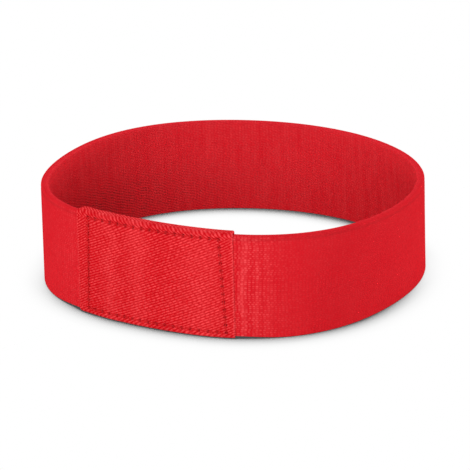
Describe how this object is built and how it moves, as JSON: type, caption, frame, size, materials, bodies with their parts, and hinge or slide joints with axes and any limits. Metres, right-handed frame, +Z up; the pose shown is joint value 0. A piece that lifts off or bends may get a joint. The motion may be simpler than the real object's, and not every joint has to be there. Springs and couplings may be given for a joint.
{
  "type": "elastic wristband",
  "caption": "Soft ring of woven elastic worn on the wrist, its joint covered by a stitched satin sleeve with a blank face.",
  "frame": {"origin": "on the ground, at the middle of the standing ring's footprint", "axes": "+Z up along the ring's axis and across the web's width; the sleeve faces between -X and -Y, its middle about 244 degrees counter-clockwise from +X"},
  "size_m": [0.0586, 0.0586, 0.0154],
  "materials": {
    "elastic": "matte red woven elastic with fine lengthwise ribs",
    "rubber": "natural latex thread, hidden inside the web",
    "satin": "red satin weave with a soft lustre",
    "sewing_thread": "red twisted polyester sewing thread"
  },
  "bodies": {
    "root": {"elastic_web": "elastic", "rubber_core_01": "rubber", "rubber_core_02": "rubber", "rubber_core_03": "rubber", "rubber_core_04": "rubber", "rubber_core_05": "rubber", "rubber_core_06": "rubber", "rubber_core_07": "rubber", "rubber_core_08": "rubber", "rubber_core_09": "rubber", "rubber_core_10": "rubber", "satin_sleeve": "satin", "needle_thread": "sewing_thread", "bobbin_thread": "sewing_thread"}
  },
  "joints": []
}
